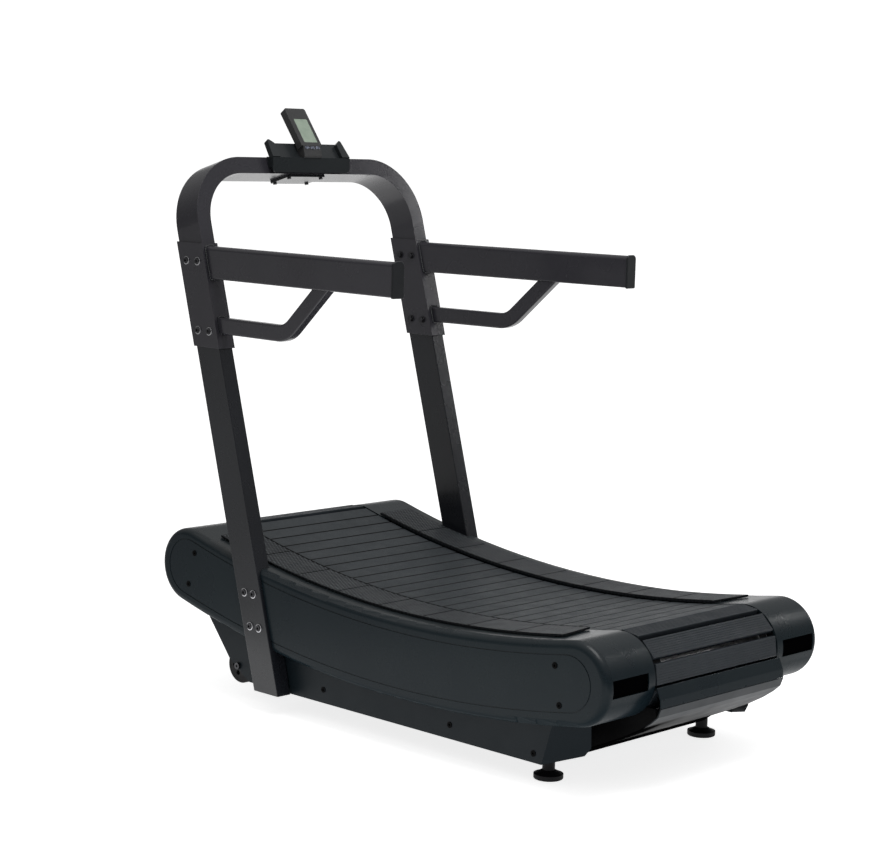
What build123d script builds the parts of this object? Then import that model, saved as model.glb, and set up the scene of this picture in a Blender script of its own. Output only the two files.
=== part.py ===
from build123d import *
import math
import os

# Curved manual treadmill, in millimetres. +Y is forward, towards the console, +X is the
# user's right, +Z is up. The origin is on the floor under the middle of the machine.

# ---- slat track: two drums and a sagging top run -----------------------------------
FRONT_DRUM = (768.5, 379.0)         # (y, z) of the front drum's axis
REAR_DRUM = (-768.5, 308.5)         # (y, z) of the rear drum's axis
ARC_DISTANCE = 3564.0               # from the top run's arc centre to either drum axis
TOP_SLATS, WRAP_SLATS, RETURN_SLATS = 25, 5, 26
BELT_THICK, BELT_WIDE, BELT_X = 5.0, 30.0, 232.0
SLAT_HALF, SLAT_GAP, SLAT_THICK = 261.0, 5.0, 14.0
SLAT_SKIN, SLAT_EDGE = 8.0, 4.0      # thickness of a slat's top, and of its side walls
SLAT_LIFT = BELT_THICK / 2 + 0.6    # slat underside above the belt's middle line
GROOVES, GROOVE_WIDE, GROOVE_DEEP = 7, 1.6, 0.8

# ---- covers ------------------------------------------------------------------------
BAND_HALF = 112.0                   # half the height of the upper cover band
SIDE_X, SEAM_X, SKIRT_X = 460.0, 438.5, 415.0
WALL, EDGE_ROUND = 3.0, 20.0
OPEN_X = 266.0                      # half the width of the opening over the slats
FRAME_X, FRAME_THICK = 268.0, 6.0
SKIRT_Z = 61.0                      # underside of the skirts and of the uprights

# ---- foot rails --------------------------------------------------------------------
RAIL_INNER, RAIL_OUTER, RAIL_THICK = 266.5, 400.0, 6.0
RAIL_TOP_RADIUS = 3444.0            # about the top run's arc centre
RAIL_PIECES = 8

# ---- uprights, hoop, handrails -----------------------------------------------------
UP_X, UP_WIDE, UP_DEEP, UP_WALL = 445.0, 50.0, 100.0, 3.0
LEAN = 15.9                         # degrees forward from vertical
UP_REAR_Y = 333.5                   # lower rear edge of an upright, at SKIRT_Z
HOOP_TOP_Z, HOOP_ROUND = 1602.0, 200.0
SLEEVE_Z, SLEEVE_WALL = (1047.0, 1350.0), 5.0
JOINT_Z = 1200.0                    # where the uprights end and the hoop begins
GRIP_WIDE, GRIP_Z, GRIP_WALL = 39.0, (1247.0, 1342.0), 2.5
GRIP_REAR_Y, GRIP_SPLAY = -133.0, 3.17
BRACE_TALL, BRACE_WIDE, BRACE_ROUND = 48.0, 30.0, 90.0
BRACE_Z, BRACE_BEND_Y, BRACE_END_Y = 1113.0, 321.0, 172.0

# ---- frame, shafts, wheels and feet ------------------------------------------------
SHAFT_R, BLOCK_BORE_GAP = 15.0, 0.05
BEARING_R, BEARING_WIDE = 20.0, 16.0
CROSS_TUBES = ((-420, 60), (40, 60), (420, 60))     # (y, width) of each
BASE_TUBES, BASE_TUBE_Z = (-586.0, 455.0), (78.0, 128.0)
WHEEL_YZ, WHEEL_R, WHEEL_WIDE = (571.0, 101.0), 53.0, 34.0
FEET = {"rear": (332.0, -586.0), "front": (205.0, 455.0)}
FOOT_R, FOOT_THREAD = 40.0, 8.0

# ---- console -----------------------------------------------------------------------
TRAY_HALF, TRAY_LEAN = 160.0, 37.0
HEAD_LEAN, HEAD_SIZE, FOOT_HALF = 37.0, (84.0, 140.0, 24.0), 36.0
SCREEN_SIZE, SCREEN_MIDDLE, SCREEN_X = (51.0, 84.0), 56.0, 3.0
BUTTON_X, BUTTON_UP = (-22, 0, 22), 25.0
CLAMP_X, CLAMP_DEEP = (-66, 66), (17, 84)

# ---- fasteners and fits ------------------------------------------------------------
BOLT_D, BOLT_HEAD_D = 12.0, 23.0
SIDE_SCREWS = ((726, 423), (752, 326), (-705, 347), (-724, 246))
SKIRT_SCREWS = ((-603, 86), (-300, 100), (200, 100))
FIT = 0.3                           # gap between a moving piece and its neighbour

os.makedirs("parts", exist_ok=True)


def save(name, *solids):
    """Write one node: a solid, or a group of separate solids."""
    flat = [solid for item in solids for solid in item.solids()]
    shape = flat[0] if len(flat) == 1 else Compound(children=flat)
    export_step(shape, f"parts/{name}.step")


def along_x(sketch, x0, x1):
    """Extrude a sketch drawn as (y, z) from x0 to x1."""
    return extrude(Plane.YZ.offset(min(x0, x1)) * sketch, amount=abs(x1 - x0))


def bar_x(radius, x0, x1, y, z):
    """A round bar along X."""
    return along_x(Pos(y, z) * Circle(radius), x0, x1)


def bar_z(radius, z0, z1, x, y):
    """A round bar along Z."""
    return extrude(Plane.XY.offset(z0) * Pos(x, y) * Circle(radius), amount=z1 - z0)


def box(x0, x1, y0, y1, z0, z1):
    """A box between opposite corners."""
    size = (abs(x1 - x0), abs(y1 - y0), abs(z1 - z0))
    return Pos((x0 + x1) / 2, (y0 + y1) / 2, (z0 + z1) / 2) * Box(*size)


def polygon(*points):
    """A filled outline through (y, z) points."""
    return make_face(Polyline(*points, close=True))


def mirrored(solid):
    """The same piece on the other side of the machine."""
    return mirror(solid, about=Plane.YZ)


def both(solids):
    """Left-hand solids followed by their mirror images."""
    return [*solids, *[mirrored(s) for s in solids]]


def save_pair(name, *left_solids):
    """Write a piece drawn on the left (-X) and its mirror image."""
    save(f"{name}_left", *left_solids)
    save(f"{name}_right", *[mirrored(s) for s in left_solids])


# ---- track geometry ----------------------------------------------------------------
CHORD = math.dist(FRONT_DRUM, REAR_DRUM)
SLOPE = math.atan2(FRONT_DRUM[1] - REAR_DRUM[1], FRONT_DRUM[0] - REAR_DRUM[0])
TOP_HALF_ANGLE = math.asin(CHORD / 2 / ARC_DISTANCE)


def return_run(drum_radius):
    """Slat pitch, and the return run's half angle and radius, for one drum radius."""
    pitch = 2 * TOP_HALF_ANGLE * (ARC_DISTANCE - drum_radius) / TOP_SLATS
    wrap = WRAP_SLATS * pitch / drum_radius
    half_angle = math.pi + TOP_HALF_ANGLE - wrap
    return pitch, half_angle, CHORD / 2 / math.sin(half_angle) + drum_radius


def solve_drum_radius():
    """The drum radius at which every part of the track holds whole slats."""
    low, high = 90.5, 98.0
    for _ in range(60):
        radius = (low + high) / 2
        pitch, half_angle, run_radius = return_run(radius)
        too_long = 2 * half_angle * run_radius > RETURN_SLATS * pitch
        low, high = (low, radius) if too_long else (radius, high)
    return radius


DRUM_R = solve_drum_radius()
PITCH, RETURN_HALF_ANGLE, RETURN_R = return_run(DRUM_R)
TOP_R = ARC_DISTANCE - DRUM_R
MIDDLE = ((FRONT_DRUM[0] + REAR_DRUM[0]) / 2, (FRONT_DRUM[1] + REAR_DRUM[1]) / 2)
NORMAL = (-math.sin(SLOPE), math.cos(SLOPE))


def above_middle(distance):
    """A point above the middle of the line between the drums."""
    return (MIDDLE[0] + distance * NORMAL[0], MIDDLE[1] + distance * NORMAL[1])


TOP_CENTRE = above_middle(ARC_DISTANCE * math.cos(TOP_HALF_ANGLE))
RETURN_CENTRE = above_middle((RETURN_R - DRUM_R) * math.cos(RETURN_HALF_ANGLE))


def polar(centre, radius, angle):
    """A (y, z) point; the angle is in radians from +Y towards +Z."""
    return (centre[0] + radius * math.cos(angle), centre[1] + radius * math.sin(angle))


UP = math.pi / 2
FRONT_TOP, FRONT_LOW = UP + SLOPE + TOP_HALF_ANGLE, SLOPE + RETURN_HALF_ANGLE - UP
REAR_LOW, REAR_TOP = SLOPE - RETURN_HALF_ANGLE - UP, SLOPE - TOP_HALF_ANGLE - 3 * UP


def track_outline(offset):
    """The filled outline of the belt's path, moved outward by offset."""
    drum = DRUM_R + offset
    mid_front, mid_rear = (FRONT_TOP + FRONT_LOW) / 2, (REAR_LOW + REAR_TOP) / 2
    front = [polar(FRONT_DRUM, drum, a) for a in (FRONT_TOP, mid_front, FRONT_LOW)]
    rear = [polar(REAR_DRUM, drum, a) for a in (REAR_LOW, mid_rear, REAR_TOP)]
    low = polar(RETURN_CENTRE, RETURN_R + offset, SLOPE - UP)
    top = polar(TOP_CENTRE, TOP_R - offset, SLOPE - UP)
    return make_face([ThreePointArc(*front), ThreePointArc(front[2], low, rear[0]),
                      ThreePointArc(*rear), ThreePointArc(rear[2], top, front[0])])


def band_outline(half):
    """The filled outline of the cover band: arcs about the top run's centre, round ends."""
    rear_up = UP + SLOPE - TOP_HALF_ANGLE
    front = [polar(FRONT_DRUM, half, FRONT_TOP + t) for t in (0, -UP, -2 * UP)]
    rear = [polar(REAR_DRUM, half, rear_up + t) for t in (2 * UP, UP, 0)]
    low = polar(TOP_CENTRE, ARC_DISTANCE + half, SLOPE - UP)
    top = polar(TOP_CENTRE, ARC_DISTANCE - half, SLOPE - UP)
    return make_face([ThreePointArc(*front), ThreePointArc(front[2], low, rear[0]),
                      ThreePointArc(*rear), ThreePointArc(rear[2], top, front[0])])


def panel_outline(inset):
    """The filled outline of the flat panel on a side cover, moved inward by inset."""
    (front_y, front_z), (rear_y, rear_z) = FRONT_DRUM, REAR_DRUM
    big, small = 84.0 - inset, 76.0 - inset
    middle = (big + small) / 2
    front = [polar((front_y - 10, front_z), big, FRONT_TOP + t) for t in (0, -UP, -2 * UP)]
    rear_up = UP + SLOPE - TOP_HALF_ANGLE
    rear = [polar((rear_y + 17, rear_z), small, rear_up + t) for t in (2 * UP, UP, 0)]
    low = polar(TOP_CENTRE, ARC_DISTANCE + middle, SLOPE - UP)
    top = polar(TOP_CENTRE, ARC_DISTANCE - middle, SLOPE - UP)
    return make_face([ThreePointArc(*front), ThreePointArc(front[2], low, rear[0]),
                      ThreePointArc(*rear), ThreePointArc(rear[2], top, front[0])])


def arc_strip(radius_top, thick, y0, y1):
    """A strip that follows the top run, from y0 to y1, thick below radius_top."""
    ring = Pos(*TOP_CENTRE) * (Circle(radius_top + thick) - Circle(radius_top))
    window = polygon((y0, 0), (y1, 0), (y1, 900), (y0, 900))
    return ring & window


# ---- slats and belts ---------------------------------------------------------------
def slat():
    """One slat about its place on the belt line: +Z outward, ribbed on top, hollow below."""
    half = (PITCH - SLAT_GAP) / 2
    low, high, chamfer = SLAT_LIFT, SLAT_LIFT + SLAT_THICK, 1.5
    step = 2 * (half - 4) / GROOVES
    top = []
    for i in range(GROOVES):
        y = -half + 4 + (i + 0.5) * step
        side, deep = GROOVE_WIDE / 2, high - GROOVE_DEEP
        top += [(y - side, high), (y - side, deep), (y + side, deep), (y + side, high)]
    profile = polygon((-half, low), (-half, high - chamfer), (-half + chamfer, high), *top,
                      (half - chamfer, high), (half, high - chamfer), (half, low))
    keel = box(-195, 195, -9, 9, low - 9, low)
    body = along_x(profile, -SLAT_HALF, SLAT_HALF) + keel
    for side in (-1, 1):
        body -= box(-195, 195, side * 9, side * (half - SLAT_EDGE), low - 1, high - SLAT_SKIN)
    return body


def slats_on(centre, radius, start, end, count):
    """Slats spread evenly round an arc, from one normal angle to another."""
    step = (end - start) / count
    one = slat()
    placed = []
    for i in range(count):
        angle = start + (i + 0.5) * step
        side = angle if radius > 0 else angle + math.pi
        y, z = polar(centre, abs(radius), side)
        placed.append(Pos(0, y, z) * Rot(X=math.degrees(angle) - 90) * one)
    return placed


def make_slats():
    rear_up = UP + SLOPE - TOP_HALF_ANGLE
    save("slats_top_run", *slats_on(TOP_CENTRE, -TOP_R, rear_up, FRONT_TOP, TOP_SLATS))
    save("slats_front", *slats_on(FRONT_DRUM, DRUM_R, FRONT_TOP, FRONT_LOW, WRAP_SLATS))
    save("slats_return_run",
         *slats_on(RETURN_CENTRE, RETURN_R, FRONT_LOW, REAR_LOW, RETURN_SLATS))
    save("slats_rear", *slats_on(REAR_DRUM, DRUM_R, REAR_LOW, REAR_TOP, WRAP_SLATS))
    loop = track_outline(BELT_THICK / 2) - track_outline(-BELT_THICK / 2)
    save("slat_belts", *both([along_x(loop, -BELT_X - BELT_WIDE / 2, -BELT_X + BELT_WIDE / 2)]))


# ---- drums, shafts, bearings -------------------------------------------------------
def pulley(y, z, x):
    """A belt pulley with a flange each side of the belt."""
    rim = DRUM_R - BELT_THICK / 2 - FIT - 0.1
    half = BELT_WIDE / 2 + 0.6
    body = bar_x(rim, x - half, x + half, y, z)
    for side in (-1, 1):
        body += bar_x(DRUM_R + 1, x + side * half, x + side * (half + 3), y, z)
    for i in range(6):
        hole_y, hole_z = polar((y, z), rim * 0.6, i * math.pi / 3)
        body -= bar_x(15, x - half - 4, x + half + 4, hole_y, hole_z)
    return body - bar_x(SHAFT_R, x - half - 4, x + half + 4, y, z)


def bearing_block(y, z):
    """A flanged bearing that carries a drum's shaft, on the outside of the side frame."""
    x = -FRAME_X - FRAME_THICK
    flange = along_x(Pos(y, z) * RectangleRounded(110, 80, 12), x - 10, x)
    body = bar_x(38, x - 28, x, y, z) + flange
    body -= bar_x(SHAFT_R + BLOCK_BORE_GAP, x - 30, x + 1, y, z)
    for side in (-1, 1):
        body -= bar_x(5.5, x - 12, x + 1, y + side * 46, z)
    return body


def make_drums():
    for name, (y, z) in (("front", FRONT_DRUM), ("rear", REAR_DRUM)):
        save(f"{name}_shaft", bar_x(SHAFT_R, -300, 300, y, z))
        save(f"{name}_pulleys", pulley(y, z, -BELT_X), pulley(y, z, BELT_X))
    save("bearing_blocks", *both([bearing_block(*FRONT_DRUM), bearing_block(*REAR_DRUM)]))


def make_support_bearings():
    """Ball bearings under the top run between the drums, on studs in the side frames."""
    radius = TOP_R + BELT_THICK / 2 + BEARING_R
    rear_up = UP + SLOPE - TOP_HALF_ANGLE
    plate_x, half = -FRAME_X - FRAME_THICK, BEARING_WIDE / 2
    bearings, studs = [], []
    for i in range(2, TOP_SLATS - 1):
        angle = rear_up + 2 * TOP_HALF_ANGLE * i / TOP_SLATS
        y, z = polar(TOP_CENTRE, radius, angle + math.pi)
        x = -BELT_X
        bearings.append(bar_x(BEARING_R, x - half, x + half, y, z)
                        - bar_x(6, x - 2 * half, x + 2 * half, y, z))
        studs.append(bar_x(6, plate_x - 10, x + half + 4, y, z)
                     + bar_x(9, -FRAME_X, x - half, y, z)
                     + bar_x(9.5, plate_x - 8, plate_x, y, z))
    save("support_bearings", *both(bearings))
    save("bearing_studs", *both(studs))
    return studs


# ---- frame -------------------------------------------------------------------------
def tube_x(y, z, wide, tall, wall, x0, x1):
    """A rectangular tube along X, centred on (y, z)."""
    ring = RectangleRounded(wide, tall, 6)
    if wall:
        ring -= RectangleRounded(wide - 2 * wall, tall - 2 * wall, 3)
    return along_x(Pos(y, z) * ring, x0, x1)


def mid_track_z(y):
    """Height of the line midway between the top and bottom arcs of the cover band."""
    return TOP_CENTRE[1] - math.sqrt(ARC_DISTANCE ** 2 - (y - TOP_CENTRE[0]) ** 2)


def side_frame(studs):
    """The steel plate that carries one end of each shaft, and one row of bearings."""
    lower = polygon((-610, 74), (540, 74), (690, 230), (690, 330), (-700, 270), (-640, 120))
    face = band_outline(BAND_HALF - 8) + lower
    for i in range(6):
        y = -525 + i * 210
        face -= Pos(y, mid_track_z(y) - 62) * RectangleRounded(120, 60, 25)
    plate = along_x(face, -FRAME_X - FRAME_THICK, -FRAME_X)
    for y, z in (FRONT_DRUM, REAR_DRUM):
        plate -= bar_x(SHAFT_R + 5, -300, -250, y, z)
    for stud in studs:
        plate -= stud
    for y in BASE_TUBES:
        plate -= base_tube(y, 0)
    return plate


def base_tube(y, wall):
    """A tube across the underside; with no wall, the space it takes."""
    return tube_x(y, sum(BASE_TUBE_Z) / 2, 60, BASE_TUBE_Z[1] - BASE_TUBE_Z[0], wall, -405, 405)


def make_frame(studs):
    save_pair("side_frame", side_frame(studs))
    tubes = [tube_x(y, mid_track_z(y) + 8, wide, 50, 3, -FRAME_X, FRAME_X)
             for y, wide in CROSS_TUBES]
    save("cross_tubes", *tubes)
    base = []
    for x, y in FEET.values():
        tube = base_tube(y, 3)
        for side in (-x, x):
            tube -= bar_z(FOOT_THREAD + FIT + 0.1, 0, 200, side, y)
        base.append(tube)
    save("base_tubes", *base)


# ---- covers ------------------------------------------------------------------------
HOOD_REAR_Y, REAR_COVER_FRONT_Y = 655.0, -650.0
NOTCH_GAP = 1.5
RECESS_Z, RECESS_X = (287.0, 334.0), (293.0, 436.0)


def upright_rear_y(z):
    """Where an upright's rear face is at height z."""
    return UP_REAR_Y + (z - SKIRT_Z) * math.tan(math.radians(LEAN))


def upright_block(x0, x1, z0, z1, grow=0.0):
    """A leaning block with the section of an upright, grown on its front and rear."""
    deep = UP_DEEP / math.cos(math.radians(LEAN))
    low, high = upright_rear_y(z0), upright_rear_y(z1)
    return along_x(polygon((low - grow, z0), (low + deep + grow, z0),
                           (high + deep + grow, z1), (high - grow, z1)), x0, x1)


def side_cover():
    """The moulded dish that forms the outside of the cover band."""
    outer = along_x(band_outline(BAND_HALF), -SIDE_X, -SEAM_X)
    outer = fillet(outer.faces().sort_by(Axis.X)[0].edges(), EDGE_ROUND)
    inner = along_x(band_outline(BAND_HALF - WALL), -SIDE_X + WALL, -SEAM_X)
    inner = fillet(inner.faces().sort_by(Axis.X)[0].edges(), EDGE_ROUND - WALL)
    panel = panel_outline(0) - panel_outline(3.5)
    body = outer - inner - along_x(panel, -SIDE_X, -SIDE_X + 1.6)
    ledge = band_outline(BAND_HALF) - band_outline(BAND_HALF - WALL)
    under = polygon((-700, 0), (690, 0), (690, 262), (350, 230), (-350, 220), (-700, 230))
    body += along_x(ledge & under, -SEAM_X, -SKIRT_X - 0.5)
    notch = upright_block(-SIDE_X - 1, -UP_X + UP_WIDE / 2 - NOTCH_GAP + 3, 0, 600, NOTCH_GAP)
    body -= notch
    for y, z in SIDE_SCREWS:
        body -= bar_x(3.2, -SIDE_X - 1, -SEAM_X, y, z)
    return body


def cover_strip(x0, x1, outer, window):
    """A shell wrapped round a drum cover between two faces, limited by a (y, z) window."""
    ring = band_outline(outer) - band_outline(outer - WALL)
    return along_x(ring & window, x0, x1)


def drum_cover(window):
    """The cover beside a drum: a wrapped shell with a flange at its inner end."""
    flange = along_x(band_outline(BAND_HALF) & window, -OPEN_X - 1 - WALL, -OPEN_X - 1)
    flange -= along_x(band_outline(BAND_HALF - 7.7), -400, -200)
    return cover_strip(-SEAM_X + 0.5, -OPEN_X - 1, BAND_HALF, window) + flange


def make_covers():
    save_pair("side_cover", side_cover())
    hood_window = polygon((HOOD_REAR_Y, 400), (HOOD_REAR_Y, 900), (1000, 900), (1000, 0),
                          (742, 0), (742, 300))
    save("front_hood", *both([drum_cover(hood_window)]))
    rear_window = polygon((REAR_COVER_FRONT_Y, 300), (REAR_COVER_FRONT_Y, 900), (-1000, 900),
                          (-1000, 0), (-768, 0), (-768, 300))
    rear = drum_cover(rear_window)
    (x0, x1), (z0, z1) = RECESS_X, RECESS_Z
    save_pair("rear_cover", rear - box(-x1, -x0, -1000, -855, z0, z1))
    insert = box(-x1 + FIT, -x0 - FIT, -874, -862, z0 + FIT, z1 - FIT)
    save("rear_recess_inserts", *both([insert]))
    deck_front, deck_rear = HOOD_REAR_Y - 0.5, REAR_COVER_FRONT_Y + 0.5
    deck = arc_strip(ARC_DISTANCE - BAND_HALF, WALL, deck_rear, deck_front)
    strip = along_x(deck, -SEAM_X + 0.5, -FRAME_X - FRAME_THICK - 0.5)
    strip -= upright_block(-SIDE_X, -UP_X + UP_WIDE / 2 + 1.5, 0, 600, NOTCH_GAP)
    save("top_decks", *both([strip]))


# ---- foot rails --------------------------------------------------------------------
def make_foot_rails():
    """Each rail is a row of ribbed tread pieces on the top deck."""
    front_y, rear_outer_y, rear_inner_y, gap = 676.0, -680.0, -655.0, 1.2
    pieces = []
    y_edges = [front_y + (rear_outer_y - front_y) * i / RAIL_PIECES for i in range(RAIL_PIECES + 1)]
    for i in range(RAIL_PIECES):
        y1, y0 = y_edges[i], y_edges[i + 1]
        face = arc_strip(RAIL_TOP_RADIUS, RAIL_THICK, y0 + gap / 2, y1 - gap / 2)
        piece = along_x(face, -RAIL_OUTER, -RAIL_INNER)
        if i == RAIL_PIECES - 1:
            wedge = Plane.XY * make_face(Polyline((-RAIL_OUTER - 1, rear_outer_y - 1),
                                                  (-RAIL_INNER + 1, rear_outer_y - 1),
                                                  (-RAIL_INNER + 1, rear_inner_y), close=True))
            piece -= extrude(wedge, amount=900)
        pieces.append(piece)
    save_pair("foot_rail", *pieces)


# ---- skirts and end panels ---------------------------------------------------------
def corner_y(x, z):
    """Where the flat that turns the skirt's rear corner in crosses a given x and z."""
    return -631.0 - 1.244 * (x + SKIRT_X) - 0.297 * (z - SKIRT_Z)


def skirt():
    """The lower side cover, with its rear corner turned in behind the levelling foot."""
    outline = polygon((corner_y(-SKIRT_X, SKIRT_Z), SKIRT_Z), (520, SKIRT_Z), (551, 78),
                      (612, 118), (735, 262), (735, 300), (corner_y(-SKIRT_X, 300), 300))
    below_band = Pos(*TOP_CENTRE) * (Circle(5000) - Circle(ARC_DISTANCE + BAND_HALF - 12))
    face = along_x(outline & below_band, -SKIRT_X, -SKIRT_X + WALL)
    corner = ((-SKIRT_X, SKIRT_Z), (-349, 92), (-342, 115), (-354, 189), (-356, 198),
              (-SKIRT_X, 198))
    edge = Polyline(*[(x, corner_y(x, z), z) for x, z in corner], close=True)
    return face + extrude(make_face(edge), amount=1.6 * WALL, dir=(0, 1, 0))


def make_skirts():
    body = skirt()
    body -= bar_x(6.2, -SKIRT_X - 1, -SKIRT_X + WALL + 1, *WHEEL_YZ)
    for y, z in SKIRT_SCREWS:
        body -= bar_x(3.2, -SKIRT_X - 1, -SKIRT_X + WALL + 1, y, z)
    save_pair("lower_skirt", body)
    lip_line = [(-886, 290), (-899, 262), (-901.5, 241)]
    tray_line = [(-901.5, 237.5), (-893, 215), (-872, 196), (-838, 172), (-795, 147),
                 (-730, 115), (-665, 85), (-640, 66)]
    for name, line in (("rear_lip_panel", lip_line), ("rear_tray", tray_line)):
        sheet = make_face(offset(Polyline(*line), 1.5, side=Side.BOTH))
        save(name, along_x(sheet, -FRAME_X + 0.1, FRAME_X - 0.1))
    pan = make_face(offset(Polyline((735, 246), (640, 140), (575, 84), (550, 84)), 1.5,
                           side=Side.BOTH))
    save("front_pan", along_x(pan, -FRAME_X + 1, FRAME_X - 1))


# ---- uprights, sleeves and hoop ----------------------------------------------------
LEAN_PLANE = Plane(origin=(0, UP_REAR_Y, SKIRT_Z), x_dir=(1, 0, 0),
                   z_dir=(0, -math.cos(math.radians(LEAN)), math.sin(math.radians(LEAN))))
SLEEVE_BOLTS = [(y, z) for z in (1297, 1095) for y in (-25, 25)]
BASE_BOLTS = [(y, z) for z in (345, 249) for y in (-19, 19)]


def upright_axis_y(z):
    """The middle of an upright's depth at height z."""
    return upright_rear_y(z) + UP_DEEP / math.cos(math.radians(LEAN)) / 2


def drill_upright(body, pattern, diameter=BOLT_D):
    """Drill a bolt pattern through a left-hand piece, along X."""
    for dy, z in pattern:
        body -= bar_x(diameter / 2, -520, -380, upright_axis_y(z) + dy, z)
    return body


def upright():
    outer, half = UP_X + UP_WIDE / 2, UP_WIDE / 2
    body = upright_block(-outer, -outer + UP_WIDE, SKIRT_Z, JOINT_Z)
    wall = UP_WALL / math.cos(math.radians(LEAN))
    body -= upright_block(-outer + UP_WALL, -outer + UP_WIDE - UP_WALL, SKIRT_Z - 1, JOINT_Z + 1,
                          -wall)
    round_edges = [e for e in body.edges().filter_by(GeomType.LINE)
                   if abs(e.length - (JOINT_Z - SKIRT_Z) / math.cos(math.radians(LEAN))) < 1]
    body = fillet(round_edges, 2.4)
    return drill_upright(drill_upright(body, SLEEVE_BOLTS), BASE_BOLTS)


def hoop():
    """The bent tube that joins the uprights over the console."""
    top = (HOOP_TOP_Z - SKIRT_Z) / math.cos(math.radians(LEAN))
    half, bottom = UP_X + UP_WIDE / 2, 1050.0

    def arch(inset):
        outer = Pos(0, (top - inset + bottom) / 2) * Rectangle(2 * (half - inset), top - inset - bottom)
        outer = fillet(outer.vertices().group_by(Axis.Y)[-1], HOOP_ROUND - inset)
        hole_half, hole_top = half - UP_WIDE + inset, top - UP_WIDE + inset
        hole = Pos(0, (hole_top + bottom) / 2) * Rectangle(2 * hole_half, hole_top - bottom)
        hole = fillet(hole.vertices().group_by(Axis.Y)[-1], HOOP_ROUND - UP_WIDE + inset)
        return outer - hole

    body = extrude(LEAN_PLANE * arch(0), amount=-UP_DEEP)
    inner = extrude(LEAN_PLANE.offset(-UP_WALL) * arch(UP_WALL), amount=-(UP_DEEP - 2 * UP_WALL))
    body -= inner
    body -= box(-600, 600, 0, 1200, 0, JOINT_Z + 0.5)
    for dy, z in SLEEVE_BOLTS[:2]:
        for side in (-1, 1):
            body -= bar_x(BOLT_D / 2, side * 380, side * 520, upright_axis_y(z) + dy, z)
    for x in CLAMP_X:
        for deep in CLAMP_DEEP:
            body -= clamp_hole(x, deep, top) * Cylinder(3.2, 200)
    return body


def sleeve():
    outer = UP_X + UP_WIDE / 2 + SLEEVE_WALL
    grow = SLEEVE_WALL / math.cos(math.radians(LEAN))
    body = upright_block(-outer, -outer + UP_WIDE + 2 * SLEEVE_WALL, *SLEEVE_Z, grow)
    body -= upright_block(-outer + SLEEVE_WALL, -outer + SLEEVE_WALL + UP_WIDE, 1000, 1400, 0.0)
    return drill_upright(body, SLEEVE_BOLTS)


def dome_bolt(x_out, x_in, y, z, nut=True):
    """A button-head bolt along X with its socket, and a domed nut on the inner side."""
    half = BOLT_HEAD_D / 2
    head = bar_x(half, x_out - 2, x_out, y, z) + bar_x(half - 3, x_out - 6, x_out - 2, y, z)
    head -= along_x(Pos(y, z) * RegularPolygon(4.6, 6), x_out - 7, x_out - 2.5)
    body = head + bar_x(BOLT_D / 2 - 0.05, x_out, x_in, y, z)
    if nut:
        body += bar_x(half, x_in, x_in + 2, y, z)
        body += along_x(Pos(y, z) * RegularPolygon(9.5, 6), x_in + 2, x_in + 9)
    return body


def make_uprights():
    save_pair("upright", upright())
    save("hoop", hoop())
    save("sleeves", *both([sleeve()]))
    out = UP_X + UP_WIDE / 2
    bolts = [dome_bolt(-out - SLEEVE_WALL, -out + UP_WIDE + SLEEVE_WALL, upright_axis_y(z) + dy, z)
             for dy, z in SLEEVE_BOLTS]
    save("sleeve_bolts", *both(bolts))
    base = [dome_bolt(-out, -out + UP_WIDE + 12, upright_axis_y(z) + dy, z) for dy, z in BASE_BOLTS]
    save("base_bolts", *both(base))
    mount = upright_block(-out + UP_WIDE, -FRAME_X - FRAME_THICK, 216, 364, -6)
    mount -= upright_block(-out + UP_WIDE + 12, -FRAME_X - FRAME_THICK - 1, 222, 358, -12)
    save("upright_mounts", *both([drill_upright(mount, BASE_BOLTS)]))
    plug = upright_block(-out + UP_WALL + 1, -out + UP_WIDE - UP_WALL - 1, SKIRT_Z + 0.5,
                         SKIRT_Z + 14, -UP_WALL / math.cos(math.radians(LEAN)) - 1)
    save("upright_plugs", *both([plug]))


# ---- handrails ---------------------------------------------------------------------
def splayed(solid):
    """Turn a left-hand piece outward about the middle of the sleeve's rear face."""
    pivot = (-UP_X, upright_rear_y(1295))
    return Pos(*pivot) * Rot(Z=-GRIP_SPLAY) * Pos(-pivot[0], -pivot[1]) * solid


def sleeve_outside():
    grow = SLEEVE_WALL / math.cos(math.radians(LEAN))
    return upright_block(-520, -370, 900, 1500, grow)


def round_rail(solid, top, low):
    """Round a rail's long edges, the upper ones more than the lower ones."""
    solid = fillet(solid.edges().filter_by(Axis.Y).group_by(Axis.Z)[-1], top)
    return fillet(solid.edges().filter_by(Axis.Y).group_by(Axis.Z)[0], low)


def handrail():
    z0, z1 = GRIP_Z
    face = polygon((GRIP_REAR_Y, z0), (760, z0), (760, z1), (GRIP_REAR_Y, z1))
    outer = along_x(face, -UP_X - GRIP_WIDE / 2, -UP_X + GRIP_WIDE / 2)
    outer = round_rail(outer, 12, 5)
    hole = box(-UP_X - GRIP_WIDE / 2 + GRIP_WALL, -UP_X + GRIP_WIDE / 2 - GRIP_WALL,
               GRIP_REAR_Y - 5, 800, z0 + GRIP_WALL, z1 - GRIP_WALL)
    hole = round_rail(hole, 12 - GRIP_WALL, 5 - GRIP_WALL)
    return splayed(outer - hole) - sleeve_outside()


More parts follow.
